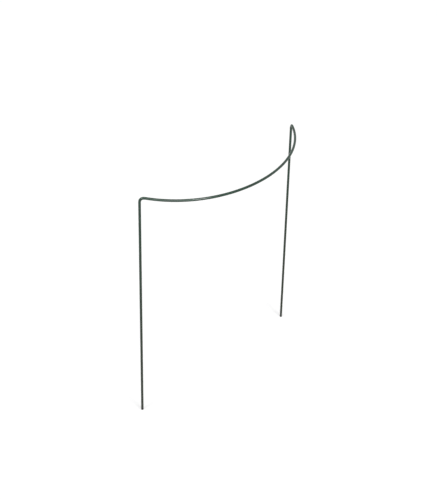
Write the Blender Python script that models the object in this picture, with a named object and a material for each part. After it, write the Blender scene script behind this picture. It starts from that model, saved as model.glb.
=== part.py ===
"""Arched plant support: two legs that are pushed into the soil, joined by a bow that holds stems.

The whole support is one length of plastic-coated steel wire. Each leg turns through a tight
corner bend into a nearly level bow, which bulges towards -Y and so wraps round a plant's front.

Frame: metres, +Z up. X runs from the left leg to the right one. The origin is at the level of
the leg tips, below the centre of the support's outline in plan.
"""
import math

import bmesh
import bpy
from mathutils import Vector

# The bent shape, measured along the wire's centreline
LEG_SPACING = 0.360          # between the two corners
OVERALL_HEIGHT = 0.449       # from the leg tips to the top of the corners, before they are rounded
LEG_SPLAY = 0.008            # how far each tip stands outside its corner
CORNER_RADIUS = 0.0075       # centreline radius of the tight corner bends
BOW_HALF_TURN = math.radians(54.5)   # the bow leaves each corner at this angle to the line of the legs
BOW_RUN_OUT = 0.011          # straight stretch between each corner and the rolled bow
BOW_TIGHTENING = 0.75        # share by which the bow curves more at its ends than at its front
BOW_DROOP = math.radians(5.4)        # the front of the bow hangs a little below the corners
DROOP_ONSET = 0.011          # how far forward the bow, level at its corners, takes to reach that slope

# The wire's layers
WIRE_DIAMETER = 0.0045       # over the plastic
COATING_WALL = 0.0004
FIT_GAP = 0.0003             # left between pieces that touch
CORE_DIAMETER = WIRE_DIAMETER - 2 * (COATING_WALL + FIT_GAP)

# The bead that seals each cut end
CAP_LENGTH = 0.005
CAP_EDGE_RADIUS = 0.0009

# How finely the curves are divided
SECTION_SIDES = 16
CORNER_STEPS = 8
BOW_STEPS = 28               # on each half

CORNER_HEIGHT = OVERALL_HEIGHT - WIRE_DIAMETER / 2


def clear_scene():
    for item in list(bpy.data.objects):
        bpy.data.objects.remove(item, do_unlink=True)


def plastic(name, colour, roughness):
    material = bpy.data.materials.new(name)
    material.use_nodes = True
    shader = material.node_tree.nodes["Principled BSDF"]
    shader.inputs["Base Color"].default_value = (*colour, 1.0)
    shader.inputs["Roughness"].default_value = roughness
    return material


def coating_material():
    """Glossy dark-green jacket."""
    return plastic("green_plastic", (0.040, 0.066, 0.047), 0.28)


def cap_material():
    """Darker, more neutral plastic of the sealed ends."""
    return plastic("dark_plastic", (0.030, 0.036, 0.030), 0.40)


def steel_material():
    """Bright drawn steel."""
    material = plastic("drawn_steel", (0.56, 0.57, 0.58), 0.35)
    material.node_tree.nodes["Principled BSDF"].inputs["Metallic"].default_value = 1.0
    return material


def bow_heading(share):
    """The bow's direction in plan, where share is -1 at its left end and 0 at its front."""
    return BOW_HALF_TURN * (share + BOW_TIGHTENING * share ** 3 / 3) / (1 + BOW_TIGHTENING / 3)


def left_half_bow():
    """The rolled bow in plan, as points from its left end to its front, with the leg line at y = 0."""
    points = [Vector((0.0, 0.0))]
    for step in range(BOW_STEPS):
        heading = bow_heading(-(step + 0.5) / BOW_STEPS)
        points.append(points[-1] - Vector((math.cos(heading), math.sin(heading))))
    half_span = LEG_SPACING / 2 - BOW_RUN_OUT * math.cos(BOW_HALF_TURN)
    scale = half_span / -points[-1].x
    reach = scale * points[-1].y + BOW_RUN_OUT * math.sin(BOW_HALF_TURN)
    return [Vector((point.x * scale, point.y * scale - reach)) for point in reversed(points)]


def corner_bend(corner, towards_leg, towards_bow):
    """Centreline points of a bend of CORNER_RADIUS that rounds off one corner, leg side first."""
    turn = math.pi - towards_leg.angle(towards_bow)
    setback = CORNER_RADIUS * math.tan(turn / 2)
    start = corner + towards_leg * setback
    inward = (towards_bow - towards_leg * towards_bow.dot(towards_leg)).normalized()
    centre = start + inward * CORNER_RADIUS
    points = []
    for step in range(CORNER_STEPS + 1):
        angle = turn * step / CORNER_STEPS
        points.append(centre - inward * CORNER_RADIUS * math.cos(angle)
                      - towards_leg * CORNER_RADIUS * math.sin(angle))
    return points


def left_half_path():
    """Centreline from the left tip to the front of the bow, with the outline's centre at Y = 0."""
    plan = left_half_bow()
    leg_line = -plan[-1].y * math.cos(BOW_DROOP) / 2
    bow = []
    for point in plan:
        drop = math.sin(BOW_DROOP) * point.y ** 2 / (DROOP_ONSET - point.y)
        bow.append(Vector((point.x, leg_line + point.y * math.cos(BOW_DROOP), CORNER_HEIGHT - drop)))
    corner = Vector((-LEG_SPACING / 2, leg_line, CORNER_HEIGHT))
    tip = Vector((-LEG_SPACING / 2 - LEG_SPLAY, leg_line, 0.0))
    bend = corner_bend(corner, (tip - corner).normalized(), (bow[0] - corner).normalized())
    return [tip] + bend + bow


def whole_path():
    """Centreline from the left tip to the right one, the same on both sides of X = 0."""
    left = left_half_path()
    right = [Vector((-point.x, point.y, point.z)) for point in reversed(left[:-1])]
    return left + right


def shorten(path, length):
    """The same path with both straight ends cut back."""
    cut = list(path)
    cut[0] = path[0] + (path[1] - path[0]).normalized() * length
    cut[-1] = path[-1] + (path[-2] - path[-1]).normalized() * length
    return cut


def tangents(path):
    found = []
    for index in range(len(path)):
        before = (path[index] - path[max(index - 1, 0)]).normalized()
        after = (path[min(index + 1, len(path) - 1)] - path[index]).normalized()
        found.append((before + after).normalized())
    return found


def section_axes(path):
    """Two axes across the wire at each point, carried without twist from the bow's front outwards."""
    along = tangents(path)
    middle = len(path) // 2
    upward = [None] * len(path)
    upward[middle] = Vector((0.0, 0.0, 1.0)) - along[middle] * along[middle].z
    for order in (range(middle + 1, len(path)), range(middle - 1, -1, -1)):
        for index in order:
            last = index - 1 if index > middle else index + 1
            turn = along[last].rotation_difference(along[index])
            upward[index] = turn @ upward[last]
    pairs = []
    for tangent, axis in zip(along, upward):
        first = axis.normalized()
        pairs.append((first, tangent.cross(first)))
    return pairs


def add_wall(mesh, path, radius):
    """A round wall along the path, as one ring of vertices for each point."""
    rings = []
    for point, (first, second) in zip(path, section_axes(path)):
        ring = []
        for side in range(SECTION_SIDES):
            angle = 2 * math.pi * side / SECTION_SIDES
            offset = first * math.cos(angle) + second * math.sin(angle)
            ring.append(mesh.verts.new(point + offset * radius))
        rings.append(ring)
    for near, far in zip(rings, rings[1:]):
        join_rings(mesh, near, far)
    return rings


def join_rings(mesh, near, far):
    for side in range(SECTION_SIDES):
        after = (side + 1) % SECTION_SIDES
        mesh.faces.new((near[side], near[after], far[after], far[side]))


def finish_object(name, mesh, material):
    """Turns a bmesh into a named object with smooth round walls and crisp cut ends."""
    bmesh.ops.recalc_face_normals(mesh, faces=mesh.faces)
    data = bpy.data.meshes.new(name)
    mesh.to_mesh(data)
    mesh.free()
    data.shade_smooth()
    data.set_sharp_from_angle(angle=math.radians(40))
    data.materials.append(material)
    item = bpy.data.objects.new(name, data)
    bpy.context.scene.collection.objects.link(item)
    return item


def core_wire(path):
    """The steel wire inside, cut off square just inside the end caps."""
    mesh = bmesh.new()
    rings = add_wall(mesh, path, CORE_DIAMETER / 2)
    mesh.faces.new(rings[0])
    mesh.faces.new(rings[-1])
    return finish_object("core_wire", mesh, steel_material())


def green_coating(path):
    """The plastic tube over the wire, open at both ends, where the caps close it."""
    mesh = bmesh.new()
    outer = add_wall(mesh, path, WIRE_DIAMETER / 2)
    inner = add_wall(mesh, path, WIRE_DIAMETER / 2 - COATING_WALL)
    join_rings(mesh, outer[0], inner[0])
    join_rings(mesh, outer[-1], inner[-1])
    return finish_object("green_coating", mesh, coating_material())


def end_cap(name, tip, up_the_leg):
    """A round bead with a rounded lower edge and a small flat foot, in line with its leg."""
    length = CAP_LENGTH - FIT_GAP
    mesh = bmesh.new()
    bmesh.ops.create_cone(
        mesh, cap_ends=True, segments=SECTION_SIDES,
        radius1=WIRE_DIAMETER / 2, radius2=WIRE_DIAMETER / 2, depth=length,
    )
    bmesh.ops.translate(mesh, verts=mesh.verts, vec=(0.0, 0.0, length / 2))
    foot = [edge for edge in mesh.edges if all(vert.co.z < length / 2 for vert in edge.verts)]
    bmesh.ops.bevel(
        mesh, geom=foot, offset=CAP_EDGE_RADIUS, segments=4, profile=0.5, affect="EDGES",
    )
    item = finish_object(name, mesh, cap_material())
    item.location = tip
    item.rotation_mode = "QUATERNION"
    item.rotation_quaternion = Vector((0.0, 0.0, 1.0)).rotation_difference(up_the_leg)
    return item


def build():
    clear_scene()
    path = whole_path()
    wire = shorten(path, CAP_LENGTH)
    core_wire(wire)
    green_coating(wire)
    end_cap("left_end_cap", path[0], (path[1] - path[0]).normalized())
    end_cap("right_end_cap", path[-1], (path[-2] - path[-1]).normalized())


build()
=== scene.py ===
"""The looks of an arched plant support: one bent steel wire in a glossy dark-green plastic coating."""
import math

import bpy
import numpy as np
from mathutils import Matrix, Vector


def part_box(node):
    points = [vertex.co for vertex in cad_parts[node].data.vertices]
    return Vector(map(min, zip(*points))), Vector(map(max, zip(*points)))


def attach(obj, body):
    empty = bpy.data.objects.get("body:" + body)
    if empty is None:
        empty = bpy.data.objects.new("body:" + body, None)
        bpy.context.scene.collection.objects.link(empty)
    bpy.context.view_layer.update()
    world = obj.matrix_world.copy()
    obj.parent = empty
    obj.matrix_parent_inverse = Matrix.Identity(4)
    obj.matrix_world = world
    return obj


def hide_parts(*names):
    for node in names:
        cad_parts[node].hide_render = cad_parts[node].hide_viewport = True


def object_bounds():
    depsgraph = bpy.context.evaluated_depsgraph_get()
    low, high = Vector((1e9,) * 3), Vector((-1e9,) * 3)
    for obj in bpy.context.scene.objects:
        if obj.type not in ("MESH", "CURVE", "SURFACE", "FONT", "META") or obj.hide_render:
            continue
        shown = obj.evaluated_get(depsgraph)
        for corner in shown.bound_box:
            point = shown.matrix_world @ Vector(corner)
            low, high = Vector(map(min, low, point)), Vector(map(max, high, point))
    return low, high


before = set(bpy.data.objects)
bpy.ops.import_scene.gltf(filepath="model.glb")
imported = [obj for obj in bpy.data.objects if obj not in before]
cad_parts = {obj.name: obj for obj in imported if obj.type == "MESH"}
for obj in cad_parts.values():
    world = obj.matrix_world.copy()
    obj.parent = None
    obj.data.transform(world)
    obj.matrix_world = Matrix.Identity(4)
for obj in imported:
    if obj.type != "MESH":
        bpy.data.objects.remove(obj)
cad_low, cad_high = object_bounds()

# Steel core
#
# One length of drawn steel wire carries the load inside the plastic, from tip to tip. It leaves
# its die with a fine grain and a film of dried soap, and the plastic hides all of it.
STEEL_COLOUR = (0.56, 0.57, 0.58, 1.0)
SOAP_COLOUR = (0.33, 0.33, 0.34, 1.0)
STEEL_GRAIN = 2400.0         # noise scales are in features per metre
SOAP_PATCHES = 90.0
STEEL_ROUGHNESS = 0.22
GRAIN_ROUGHNESS = 0.18       # what the grain adds to it, and the soap
SOAP_ROUGHNESS = 0.15


class Amount:
    """A number or colour that varies over a surface: it wraps a socket, so that plain maths works."""

    def __init__(self, finish, socket):
        self.finish = finish
        self.socket = socket

    def worked(self, operation, *numbers):
        return self.finish.node("ShaderNodeMath", {"operation": operation}, dict(enumerate(numbers)))

    def __add__(self, other):
        return self.worked("ADD", self, other)

    __radd__ = __add__

    def __sub__(self, other):
        return self.worked("SUBTRACT", self, other)

    def __rsub__(self, other):
        return self.worked("SUBTRACT", other, self)

    def __mul__(self, other):
        return self.worked("MULTIPLY", self, other)

    __rmul__ = __mul__

    def __pow__(self, other):
        return self.worked("POWER", self, other)

    def __abs__(self):
        return self.worked("ABSOLUTE", self)


class Finish:
    """The shader nodes of one material, or of the room."""

    def __init__(self, owner):
        owner.use_nodes = True
        self.owner = owner
        self.tree = owner.node_tree

    def node(self, kind, settings=None, sockets=None, out=0):
        """Adds a node: its settings first, then the values or links of its sockets."""
        made = self.tree.nodes.new(kind)
        for name, value in (settings or {}).items():
            setattr(made, name, value)
        for name, value in (sockets or {}).items():
            self.feed(made.inputs[name], value)
        return Amount(self, made.outputs[out])

    def feed(self, socket, value):
        if isinstance(value, Amount):
            self.tree.links.new(value.socket, socket)
        else:
            socket.default_value = value

    def blend(self, mask, below, above):
        """One colour where the mask is 0, turning into another where it is 1."""
        return self.node("ShaderNodeMix", {"data_type": "RGBA"}, {0: mask, 6: below, 7: above}, out=2)

    def between(self, value, low, high):
        """0 where the value is low, 1 where it is high, with a soft change between them."""
        return self.node(
            "ShaderNodeMapRange", {"interpolation_type": "SMOOTHSTEP"},
            {"Value": value, "From Min": low, "From Max": high},
        )

    def stretched(self, place, factors):
        """The same place, scaled along each axis, which draws a noise out along it."""
        return self.node("ShaderNodeVectorMath", {"operation": "MULTIPLY"}, {0: place, 1: factors})

    def noise(self, place, scale, detail):
        """A soft random pattern between 0 and 1."""
        return self.node("ShaderNodeTexNoise", None, {"Vector": place, "Scale": scale, "Detail": detail})

    def relief(self, height, depth, strength):
        """Small bumps and hollows, for the Normal of the shader."""
        return self.node("ShaderNodeBump", None, {"Height": height, "Distance": depth, "Strength": strength})

    def wear(self, **values):
        """Gives the shader's own sockets their values. A _ in a name stands for a space."""
        for name, value in values.items():
            self.feed(self.tree.nodes["Principled BSDF"].inputs[name.replace("_", " ")], value)
        return self.owner


def drawn_steel():
    finish = Finish(bpy.data.materials.new("drawn_steel"))
    place = finish.node("ShaderNodeNewGeometry", out="Position")
    grain = finish.noise(place, STEEL_GRAIN, detail=3.0)
    soap = finish.between(finish.noise(place, SOAP_PATCHES, detail=4.0), low=0.45, high=0.7)
    return finish.wear(
        Base_Color=finish.blend(soap, STEEL_COLOUR, SOAP_COLOUR),
        Metallic=1.0,
        Roughness=STEEL_ROUGHNESS + grain * GRAIN_ROUGHNESS + soap * SOAP_ROUGHNESS,
        Normal=finish.relief(grain, depth=0.00001, strength=0.6),
    )


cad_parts["core_wire"].material_slots[0].material = drawn_steel()

# Green coating
#
# Soft plastic, squeezed onto the straight wire as one glossy tube, with faint lines from the die.
# It is bent with the wire: at each corner it thins and pales outside, and gathers in folds inside, whose
# valleys are painted darker as painted shade.
# Both legs are painted a little darker and browner towards their tips, as painted shade.
LEG_SPACING = 0.360          # between the two corners, along the middle of the wire
LEG_SPLAY = 0.008            # how far each tip stands outside its corner
CORNER_HEIGHT = 0.44675      # above the tips, before the corners are rounded
CORNER_RADIUS = 0.0075
BOW_HALF_TURN = math.radians(54.5)   # how far the bow turns on each side of its front
BOW_RUN_OUT = 0.011          # straight stretch from each corner to the rolled bow
BOW_TIGHTENING = 0.75        # share by which the bow curves more at its ends than at its front
BOW_DROOP = math.radians(5.4)
DROOP_ONSET = 0.011          # how far forward the bow, level at its corners, takes to reach that slope
WIRE_RADIUS = 0.00225
COATING_WALL = 0.0004
COATING_START = 0.005        # up the leg from the tip
COATING_LIP = 0.00012

# How finely it is divided, in steps along its length or in sides round it.
COATING_SIDES = 32
LEG_STEP = 0.004
BEND_STEPS = 72
BEND_FADE = 0.0020           # length of leg over which the bend's effects fade out
FADE_STEP = 0.0003
BOW_STEPS = 112              # on each half
LIP_STEPS = 3
BORE_STEP = 3                # the bore has a ring at every third cut

# What bending and the die do to its thickness.
THINNED_OUTSIDE = 0.00007
GATHERED_INSIDE = 0.00025
FOLD_HEIGHT = 0.000022
FOLDS = 6
DIE_SWELL = 0.000012
DIE_SWELL_LENGTHS = (0.047, 0.019, 0.0083)

COATING_GREEN = (0.0055, 0.0315, 0.0165, 1.0)
COATING_DEEP = (0.0037, 0.0228, 0.0118, 1.0)
COATING_PALE = (0.0360, 0.0920, 0.0580, 1.0)
# Painted shade: the legs darken and brown towards both tips.
COATING_TIP_SHADE = (0.0030, 0.0100, 0.0007, 1.0)
TIP_SHADE_REACH = 0.42           # along the wire, up from each end
TIP_SHADE_UNEVENNESS = 0.08

# Noise scales of its finish. The die's lines and the scratches are drawn out along the wire.
DIE_LINES = 2600.0
DIE_LINE_DRAW = (1.0, 1.0, 0.006)
SCRATCHES = 900.0
SCRATCH_DRAW = (1.0, 1.0, 0.12)
ORANGE_PEEL = 1500.0
CLOUDS = 45.0

# How much each mark adds to its relief, paleness, painted shade and roughness.
LINE_RELIEF = 2.0
PEEL_RELIEF = 0.3
SCUFF_RELIEF = 0.5
SCUFF_PALENESS = 0.35
STRETCH_PALENESS = 0.30
CREASE_PAINTED_SHADE = 0.6
COATING_ROUGHNESS = 0.15
CLOUD_ROUGHNESS = 0.08
SCUFF_ROUGHNESS = 0.25
STRETCH_ROUGHNESS = 0.10
CREASE_ROUGHNESS = 0.15

# Its texture is laid out in strips, cut from the wire and stacked. Each has a margin all round.
STRIPS = 9
STRIP_END = 0.0025
STRIP_EDGE = 0.03

left_cap_low, left_cap_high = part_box("left_end_cap")
leg_line_y = (left_cap_low.y + left_cap_high.y) / 2
left_tip = Vector((-LEG_SPACING / 2 - LEG_SPLAY, leg_line_y, 0.0))
left_corner = Vector((-LEG_SPACING / 2, leg_line_y, CORNER_HEIGHT))
up_left_leg = (left_corner - left_tip).normalized()
MIRROR = Vector((-1.0, 1.0, 1.0))


class Cut:
    """One cut across the wire: its middle, the wire's direction, and how far it is into a bend."""

    def __init__(self, point, along, bend=0.0, outward=Vector((0.0, 0.0, 0.0)), turned=0.0):
        self.point = point
        self.along = along
        self.bend = bend
        self.outward = outward
        self.turned = turned

    def mirrored(self):
        """The same cut on the other half of the wire, which runs the other way."""
        return Cut(self.point * MIRROR, -self.along * MIRROR, self.bend, self.outward * MIRROR, self.turned)


def bow_heading(share):
    """The bow's direction in plan, where share is -1 at its left end and 0 at its front."""
    return BOW_HALF_TURN * (share + BOW_TIGHTENING * share ** 3 / 3) / (1 + BOW_TIGHTENING / 3)


def bow_cuts():
    """The left half of the rolled bow, from its end to its front. It starts level and then droops."""
    plan = [Vector((0.0, 0.0))]
    for count in range(BOW_STEPS):
        heading = bow_heading(-(count + 0.5) / BOW_STEPS)
        plan.append(plan[-1] - Vector((math.cos(heading), math.sin(heading))))
    half_span = LEG_SPACING / 2 - BOW_RUN_OUT * math.cos(BOW_HALF_TURN)
    scale = half_span / -plan[-1].x
    reach = scale * plan[-1].y + BOW_RUN_OUT * math.sin(BOW_HALF_TURN)
    cuts = []
    for count, point in enumerate(plan):
        forward = reach - point.y * scale
        onset = DROOP_ONSET / (forward + DROOP_ONSET)
        heading = bow_heading(-count / BOW_STEPS)
        cuts.append(Cut(
            left_corner + Vector((
                point.x * scale + LEG_SPACING / 2,
                -forward * math.cos(BOW_DROOP),
                -forward * math.sin(BOW_DROOP) * (1 - onset),
            )),
            Vector((
                math.cos(heading),
                math.sin(heading) * math.cos(BOW_DROOP),
                math.sin(heading) * math.sin(BOW_DROOP) * (1 - onset ** 2),
            )).normalized(),
        ))
    return cuts[::-1]


def eased(share):
    """The same share from 0 to 1, but with a gentle start and end."""
    return share * share * (3 - 2 * share)


def straight_cuts(start, end, step):
    """Cuts from start to just before end."""
    steps = max(1, round((end - start).length / step))
    return [Cut(start.lerp(end, count / steps), (end - start).normalized()) for count in range(steps)]


def left_half():
    """Cuts from the start of the coating on the left leg to the front of the bow."""
    bow = bow_cuts()
    bow_way = (bow[0].point - left_corner).normalized()
    turn = up_left_leg.angle(bow_way)
    setback = CORNER_RADIUS * math.tan(turn / 2)
    bend_start = left_corner - up_left_leg * setback
    bend_end = left_corner + bow_way * setback
    fade_start = bend_start - up_left_leg * BEND_FADE
    run_out = (bow[0].point - bend_end).length
    inward = (bow_way - up_left_leg * bow_way.dot(up_left_leg)).normalized()
    centre = bend_start + inward * CORNER_RADIUS

    leg = straight_cuts(left_tip + up_left_leg * COATING_START, fade_start, LEG_STEP)
    before = straight_cuts(fade_start, bend_start, FADE_STEP)
    for cut in before:
        cut.bend = eased(1 - (bend_start - cut.point).length / BEND_FADE)
        cut.outward = -inward
    bend = []
    for count in range(BEND_STEPS):
        angle = turn * count / BEND_STEPS
        outward = up_left_leg * math.sin(angle) - inward * math.cos(angle)
        along = up_left_leg * math.cos(angle) + inward * math.sin(angle)
        bend.append(Cut(centre + outward * CORNER_RADIUS, along, 1.0, outward, count / BEND_STEPS))
    after = straight_cuts(bend_end, bow[0].point, FADE_STEP)
    for cut in after:
        cut.bend = eased(1 - (cut.point - bend_end).length / run_out)
        cut.outward = up_left_leg * math.sin(turn) - inward * math.cos(turn)
    return leg + before + bend + after + bow


def whole_wire():
    left = left_half()
    return left + [cut.mirrored() for cut in reversed(left[:-1])]


def cross_axes(cuts):
    """Two axes across the wire at each cut, carried without twist from the front of the bow."""
    middle = len(cuts) // 2
    upward = [None] * len(cuts)
    upward[middle] = (Vector((0.0, 0.0, 1.0)) - cuts[middle].along * cuts[middle].along.z).normalized()
    for order in (range(middle + 1, len(cuts)), range(middle - 1, -1, -1)):
        for index in order:
            last = index - 1 if index > middle else index + 1
            upward[index] = cuts[last].along.rotation_difference(cuts[index].along) @ upward[last]
    return [(axis, cut.along.cross(axis)) for axis, cut in zip(upward, cuts)]


def distances(cuts):
    """How far along the wire each cut is."""
    found = [COATING_START]
    for before, after in zip(cuts, cuts[1:]):
        found.append(found[-1] + (after.point - before.point).length)
    return found


def die_swell(distance):
    """The small rise and fall in thickness that the die leaves along the wire, from -1 to 1."""
    waves = [math.sin(2 * math.pi * distance / length) for length in DIE_SWELL_LENGTHS]
    return sum(waves) / len(waves)


def coating_rings(last):
    """The tube's rings in turn, each as its cut, radius, shift along the wire, and whether it shows."""
    skin = [(index, WIRE_RADIUS, 0.0, True) for index in range(last + 1)]
    lip = []
    for count in range(1, LIP_STEPS + 1):
        angle = math.radians(90 * count / LIP_STEPS)
        lip.append((WIRE_RADIUS - COATING_LIP * (1 - math.cos(angle)), COATING_LIP * math.sin(angle)))
    right_lip = [(last, radius, shift, False) for radius, shift in lip]
    left_lip = [(0, radius, -shift, False) for radius, shift in reversed(lip)]
    bore = WIRE_RADIUS - COATING_WALL
    right_end = (last, bore, COATING_LIP, False)
    left_end = (0, bore, -COATING_LIP, False)
    inside = [(index, bore, 0.0, False) for index in range(last - 1, 0, -BORE_STEP)]
    return skin + right_lip + [right_end] + inside + [left_end] + left_lip


def texture_row(rings, ring, reached):
    """The row of the texture for the band from one ring to the next, and where it starts and ends there."""
    index, _, _, shows = rings[ring]
    after_index, _, _, after_shows = rings[(ring + 1) % len(rings)]
    if not (shows and after_shows):
        return STRIPS, [ring / len(rings), (ring + 1) / len(rings)]
    strip = (reached[-1] - COATING_START) / STRIPS
    ends = (reached[index], reached[after_index])
    row = min(int(((ends[0] + ends[1]) / 2 - COATING_START) / strip), STRIPS - 1)
    return row, [(end - COATING_START - row * strip + STRIP_END) / (strip + 2 * STRIP_END) for end in ends]


def remember(mesh, name, values):
    """Keeps a number or a place for each point of the mesh, for its finish to read."""
    values = np.array(values)
    kind, field = ("FLOAT", "value") if values.ndim == 1 else ("FLOAT_VECTOR", "vector")
    mesh.attributes.new(name, kind, "POINT").data.foreach_set(field, values.ravel())


def coating_mesh(name):
    """A closed tube: its outer skin, a rounded lip at each end, and the bore that the steel fills."""
    cuts = whole_wire()
    axes = cross_axes(cuts)
    reached = distances(cuts)
    rings = coating_rings(len(cuts) - 1)
    places, wire_places, stretches, creases = [], [], [], []
    for index, radius, shift, shows in rings:
        cut = cuts[index]
        first, second = axes[index]
        ripple = math.sin(math.pi * FOLDS * cut.turned) ** 2
        for side in range(COATING_SIDES):
            angle = 2 * math.pi * side / COATING_SIDES
            across = first * math.cos(angle) + second * math.sin(angle)
            facing = cut.bend * across.dot(cut.outward)
            stretch = max(facing, 0.0)
            gather = max(-facing, 0.0) ** 2
            reach = radius
            if shows:
                reach += DIE_SWELL * (die_swell(reached[index]) - 1) - THINNED_OUTSIDE * stretch
                reach += (GATHERED_INSIDE + FOLD_HEIGHT * (2 * ripple - 1)) * gather
            places.append(cut.point + across * reach + cut.along * shift)
            wire_places.append((radius * math.cos(angle), radius * math.sin(angle), reached[index] + shift))
            stretches.append(stretch)
            # The valleys between the folds, which the finish paints darker as painted shade and makes
            # rougher.
            creases.append(gather * (1 - ripple))
    faces, texture_places = [], []
    for ring in range(len(rings)):
        row, u = texture_row(rings, ring, reached)
        near = ring * COATING_SIDES
        far = (ring + 1) % len(rings) * COATING_SIDES
        for side in range(COATING_SIDES):
            after = (side + 1) % COATING_SIDES
            faces.append((near + side, near + after, far + after, far + side))
            v = [(row + STRIP_EDGE + (1 - 2 * STRIP_EDGE) * edge / COATING_SIDES) / (STRIPS + 1)
                 for edge in (side, side + 1)]
            texture_places += [(u[0], v[0]), (u[0], v[1]), (u[1], v[1]), (u[1], v[0])]
    mesh = bpy.data.meshes.new(name)
    mesh.from_pydata(places, [], faces)
    remember(mesh, "wire_place", wire_places)
    remember(mesh, "stretch", stretches)
    remember(mesh, "crease", creases)
    mesh.uv_layers.new(name="OFBake").data.foreach_set("uv", np.ravel(texture_places))
    mesh.shade_smooth()
    return mesh


def coating_finish():
    finish = Finish(bpy.data.materials.new("green_plastic"))
    place = finish.node("ShaderNodeAttribute", {"attribute_name": "wire_place"}, out="Vector")
    distance = finish.node("ShaderNodeSeparateXYZ", None, {"Vector": place}, out="Z")
    stretch = finish.node("ShaderNodeAttribute", {"attribute_name": "stretch"}, out="Fac")
    crease = finish.node("ShaderNodeAttribute", {"attribute_name": "crease"}, out="Fac")
    die_lines = finish.noise(finish.stretched(place, DIE_LINE_DRAW), DIE_LINES, detail=2.0)
    scratches = finish.noise(finish.stretched(place, SCRATCH_DRAW), SCRATCHES, detail=5.0)
    peel = finish.noise(place, ORANGE_PEEL, detail=1.0)
    cloud = finish.noise(place, CLOUDS, detail=4.0)
    scuffed_places = finish.between(cloud, low=0.50, high=0.65)
    scuffed = finish.between(scratches, low=0.63, high=0.72) * scuffed_places
    dull = finish.between(stretch, low=0.45, high=1.0)
    wire_middle = distances(whole_wire())[-1] / 2
    # Painted shade, darker and browner towards both tips.
    from_middle = abs(distance - wire_middle) + cloud * TIP_SHADE_UNEVENNESS
    tip_shade = finish.between(from_middle, wire_middle - TIP_SHADE_REACH, wire_middle)

    green = finish.blend(finish.between(cloud, low=0.35, high=0.65), COATING_DEEP, COATING_GREEN)
    green = finish.blend(tip_shade, green, COATING_TIP_SHADE)
    green = finish.blend(scuffed * SCUFF_PALENESS + dull * STRETCH_PALENESS, green, COATING_PALE)
    # Painted shade in the valleys of the folds inside each bend.
    green = finish.blend(crease * CREASE_PAINTED_SHADE, green, COATING_DEEP)
    roughness = COATING_ROUGHNESS + cloud * CLOUD_ROUGHNESS + scuffed * SCUFF_ROUGHNESS
    height = die_lines * LINE_RELIEF + peel * PEEL_RELIEF - scuffed * SCUFF_RELIEF
    return finish.wear(
        Base_Color=green,
        Roughness=roughness + dull * STRETCH_ROUGHNESS + crease * CREASE_ROUGHNESS,
        Normal=finish.relief(height, depth=0.000012, strength=0.8),
        IOR=1.5,
    )


def add_piece(name, mesh, material, node):
    """Puts a modelled piece in the place of the frame's plain solid."""
    mesh.materials.append(material)
    piece = bpy.data.objects.new(name, mesh)
    bpy.context.scene.collection.objects.link(piece)
    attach(piece, "root")
    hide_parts(node)


add_piece(
    "glossy_green_coating", coating_mesh("glossy_green_coating"), coating_finish(),
    "green_coating",
)

# End caps
#
# A bead of darker plastic seals each cut end against rust. It is melted on, so its lower edge is
# rounded, its foot is nearly flat, its skin is uneven and duller, and a fine groove shows its top.
CAP_TOP = 0.00483
CAP_FOOT = 0.00135           # radius of the foot
CAP_EDGE = 0.0009            # radius of the rounding round it
CAP_DISH = 0.00005
CAP_GROOVE = 0.00015
CAP_SIDES = 48
FOOT_RINGS = (0.3, 0.6, 0.85)
TURN_STEPS = 6
SIDE_STEPS = 12

# Its hollows wind up its side in two ways, as radians per metre.
HOLLOW_DEPTH = 0.00003
HOLLOW_TWIST = 1500.0
HOLLOW_COUNTER_TWIST = 900.0

CAP_BLACK = (0.0035, 0.0042, 0.0030, 1.0)
CAP_WORN = (0.0250, 0.0270, 0.0220, 1.0)
CAP_GRAIN = 3200.0
CAP_CLOUDS = 600.0
CAP_GRAIN_RELIEF = 0.3
WORN_HEIGHT = 0.0010         # up from the foot
WORN_PALENESS = 0.5
CAP_ROUGHNESS = 0.38
CAP_CLOUD_ROUGHNESS = 0.18
WORN_ROUGHNESS = 0.15


def cap_profile():
    """The cap's outline as radius and height, from the middle of its foot to the middle of its top."""
    foot = [(CAP_FOOT * share, CAP_DISH * (1 - share * share)) for share in FOOT_RINGS]
    turns = [math.radians(90 * count / TURN_STEPS) for count in range(TURN_STEPS + 1)]
    edge = [(CAP_FOOT + CAP_EDGE * math.sin(turn), CAP_EDGE * (1 - math.cos(turn))) for turn in turns]
    side_top = CAP_TOP - CAP_GROOVE
    side_length = side_top - CAP_EDGE
    side = [(WIRE_RADIUS, CAP_EDGE + side_length * count / SIDE_STEPS) for count in range(1, SIDE_STEPS)]
    groove = [(WIRE_RADIUS - CAP_GROOVE * (1 - math.cos(turn)), side_top + CAP_GROOVE * math.sin(turn))
              for turn in turns]
    return foot + edge + side + groove


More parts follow.
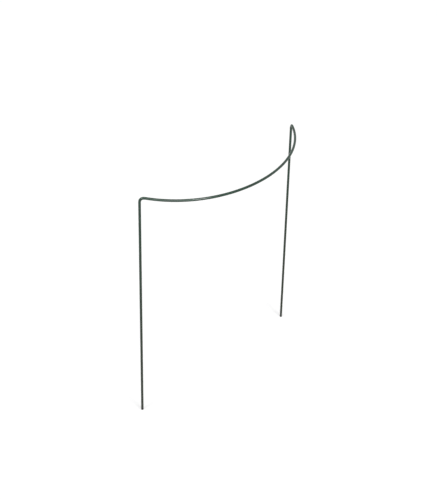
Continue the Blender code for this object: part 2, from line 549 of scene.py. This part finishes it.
def cap_mesh(name, tip, up_leg, seed):
    """The outline turned about the leg, with the small hollows of a bead that has cooled."""
    across = Vector((0.0, 1.0, 0.0))
    beside = up_leg.cross(across).normalized()
    places = [tip + up_leg * CAP_DISH]
    cap_places = [(0.0, 0.0, CAP_DISH)]
    profile = cap_profile()
    for radius, height in profile:
        for side in range(CAP_SIDES):
            angle = 2 * math.pi * side / CAP_SIDES
            wave = math.sin(2 * angle + seed + HOLLOW_TWIST * height)
            hollow = 1 + wave * math.cos(3 * angle - HOLLOW_COUNTER_TWIST * height)
            reach = radius - HOLLOW_DEPTH * hollow * radius / WIRE_RADIUS
            outward = across * math.cos(angle) + beside * math.sin(angle)
            places.append(tip + up_leg * height + outward * reach)
            cap_places.append((radius * math.cos(angle), radius * math.sin(angle), height))
    places.append(tip + up_leg * CAP_TOP)
    cap_places.append((0.0, 0.0, CAP_TOP))
    faces = []
    for side in range(CAP_SIDES):
        after = (side + 1) % CAP_SIDES
        faces.append((0, 1 + side, 1 + after))
        for ring in range(len(profile) - 1):
            near = 1 + ring * CAP_SIDES
            far = near + CAP_SIDES
            faces.append((near + side, far + side, far + after, near + after))
        far = 1 + (len(profile) - 1) * CAP_SIDES
        faces.append((len(places) - 1, far + after, far + side))
    mesh = bpy.data.meshes.new(name)
    mesh.from_pydata(places, [], faces)
    remember(mesh, "cap_place", cap_places)
    mesh.shade_smooth()
    return mesh


def cap_finish():
    finish = Finish(bpy.data.materials.new("dark_plastic"))
    place = finish.node("ShaderNodeAttribute", {"attribute_name": "cap_place"}, out="Vector")
    height = finish.node("ShaderNodeSeparateXYZ", None, {"Vector": place}, out="Z")
    grain = finish.noise(place, CAP_GRAIN, detail=3.0)
    cloud = finish.noise(place, CAP_CLOUDS, detail=3.0)
    worn = finish.between(height, low=WORN_HEIGHT, high=0.0) * finish.between(grain, low=0.45, high=0.65)
    return finish.wear(
        Base_Color=finish.blend(worn * WORN_PALENESS, CAP_BLACK, CAP_WORN),
        Roughness=CAP_ROUGHNESS + cloud * CAP_CLOUD_ROUGHNESS + worn * WORN_ROUGHNESS,
        Normal=finish.relief(cloud + grain * CAP_GRAIN_RELIEF, depth=0.00003, strength=0.7),
        IOR=1.46,
    )


cap_plastic = cap_finish()
add_piece(
    "left_melted_cap", cap_mesh("left_melted_cap", left_tip, up_left_leg, seed=0.4), cap_plastic,
    "left_end_cap",
)
add_piece(
    "right_melted_cap", cap_mesh("right_melted_cap", left_tip * MIRROR, up_left_leg * MIRROR, seed=2.1),
    cap_plastic, "right_end_cap",
)

# Studio
#
# A plain white floor in a white room. A wide soft lamp and a narrow brighter one stand side by side
# in front, and draw the light line along the near half of the bow. One at the side lights its bend.
LOOKED_AT = Vector((-0.00354, leg_line_y, 0.38551))   # by the camera, and the lamps stand round it
LAMP_DISTANCE = 2.2
LAMP_POWER = 4.0             # for each square metre of a lamp, at a radiance of 1
ROOM_LIGHT = 0.28
FLOOR_COLOUR = 0.5
FLOOR_REACH = 8.0
GLOW_FAR_OFF = 0.86          # the floor's own glow, where no lamp reaches it
BLACK = (0.0, 0.0, 0.0, 1.0)
WHITE = (1.0, 1.0, 1.0, 1.0)


def direction(azimuth, elevation):
    """From the object to a place in the studio, in degrees. Azimuth 0 is in front of the bow."""
    turn, rise = math.radians(azimuth), math.radians(elevation)
    flat = math.cos(rise)
    return Vector((math.sin(turn) * flat, -math.cos(turn) * flat, math.sin(rise)))


FRONT_WAY = direction(-28, 43)
SIDE_WAY = direction(-92, 26)


class Softbox:
    """A flat white lamp. It stands the way given, moved aside in its own plane."""

    def __init__(self, name, way, aside, width, height, radiance):
        self.way = way
        sideways = Vector((0.0, 0.0, 1.0)).cross(way).normalized()
        self.place = LOOKED_AT + way * LAMP_DISTANCE + sideways * aside
        self.output = radiance * width * height
        lamp = bpy.data.lights.new(name, "AREA")
        lamp.shape = "RECTANGLE"
        lamp.size = width
        lamp.size_y = height
        lamp.energy = LAMP_POWER * self.output
        item = bpy.data.objects.new(name, lamp)
        item.location = self.place
        item.rotation_mode = "QUATERNION"
        item.rotation_quaternion = way.to_track_quat("Z", "Y")
        bpy.context.scene.collection.objects.link(item)

    def on_floor(self, finish, place):
        """How bright it makes a place on the floor: less with the distance, and with the slant at both."""
        to_lamp = finish.node("ShaderNodeVectorMath", {"operation": "SUBTRACT"}, {0: self.place, 1: place})
        distance = finish.node("ShaderNodeVectorMath", {"operation": "LENGTH"}, {0: to_lamp}, out="Value")
        facing = finish.node(
            "ShaderNodeVectorMath", {"operation": "DOT_PRODUCT"}, {0: to_lamp, 1: self.way}, out="Value",
        )
        above_floor = self.place.z - cad_low.z
        return FLOOR_COLOUR / math.pi * self.output * above_floor * facing * distance ** -4


def rays_that_see(finish):
    """1 for what the camera sees, also by way of gloss and glass, and 0 for the light on surfaces."""
    rays = ("Is Camera Ray", "Is Glossy Ray", "Is Transmission Ray")
    camera_ray, glossy_ray, glass_ray = (finish.node("ShaderNodeLightPath", out=ray) for ray in rays)
    return camera_ray + glossy_ray + glass_ray


def floor_finish(lamps):
    """White all over: its own glow makes up for the lamps' light, which falls off with distance."""
    finish = Finish(bpy.data.materials.new("white_floor"))
    place = finish.node("ShaderNodeNewGeometry", out="Position")
    glow = GLOW_FAR_OFF
    for lamp in lamps:
        glow = glow - lamp.on_floor(finish, place)
    return finish.wear(
        Base_Color=(FLOOR_COLOUR, FLOOR_COLOUR, FLOOR_COLOUR, 1.0),
        Roughness=1.0,
        Specular_IOR_Level=0.0,
        Emission_Color=finish.blend(glow * rays_that_see(finish), BLACK, WHITE),
        Emission_Strength=1.0,
    )


lamps = [
    Softbox("wide_softbox", FRONT_WAY, aside=-0.42, width=1.7, height=2.0, radiance=2.6),
    Softbox("narrow_softbox", FRONT_WAY, aside=0.68, width=0.50, height=2.0, radiance=8.0),
    Softbox("side_softbox", SIDE_WAY, aside=0.0, width=0.7, height=1.0, radiance=7.5),
]

floor_mesh = bpy.data.meshes.new("floor")
floor_corners = [
    (x * FLOOR_REACH, y * FLOOR_REACH, cad_low.z) for x, y in ((-1, -1), (1, -1), (1, 1), (-1, 1))
]
floor_mesh.from_pydata(floor_corners, [], [(0, 1, 2, 3)])
floor_mesh.materials.append(floor_finish(lamps))
floor = bpy.data.objects.new("floor", floor_mesh)
bpy.context.scene.collection.objects.link(floor)

room = bpy.data.worlds.new("room")
bpy.context.scene.world = room
air = Finish(room)
lit = air.node("ShaderNodeBackground", None, {"Color": WHITE, "Strength": ROOM_LIGHT})
seen = air.node("ShaderNodeBackground", None, {"Color": WHITE, "Strength": 1.0})
mixed = air.node("ShaderNodeMixShader", None, {0: rays_that_see(air), 1: lit, 2: seen})
air.feed(air.tree.nodes["World Output"].inputs["Surface"], mixed)

# Camera
#
# It looks down on the bow from the left leg's side. Its lens is raised in its frame, as if the
# picture were the lower part of a larger one.
CAMERA_AZIMUTH = -45.95
CAMERA_ELEVATION = 31.686
CAMERA_ROLL = math.radians(1.271)
CAMERA_DISTANCE = 1.5985
FOCAL_PIXELS = 937.4
RISE_PIXELS = 60.0
PICTURE_HEIGHT = 500.0
SENSOR = 36.0

back = direction(CAMERA_AZIMUTH, CAMERA_ELEVATION)
level = Vector((0.0, 0.0, 1.0)).cross(back).normalized()
upright = back.cross(level)
right = level * math.cos(CAMERA_ROLL) + upright * math.sin(CAMERA_ROLL)
up = upright * math.cos(CAMERA_ROLL) - level * math.sin(CAMERA_ROLL)
camera_data = bpy.data.cameras.new("camera")
camera_data.sensor_width = SENSOR
camera_data.lens = FOCAL_PIXELS / PICTURE_HEIGHT * SENSOR
camera_data.shift_y = -RISE_PIXELS / PICTURE_HEIGHT
camera = bpy.data.objects.new("camera", camera_data)
camera.matrix_world = (
    Matrix.Translation(LOOKED_AT + back * CAMERA_DISTANCE)
    @ Matrix((right, up, back)).transposed().to_4x4()
)
bpy.context.scene.collection.objects.link(camera)
bpy.context.scene.camera = camera
bpy.context.scene.view_settings.view_transform = "Standard"
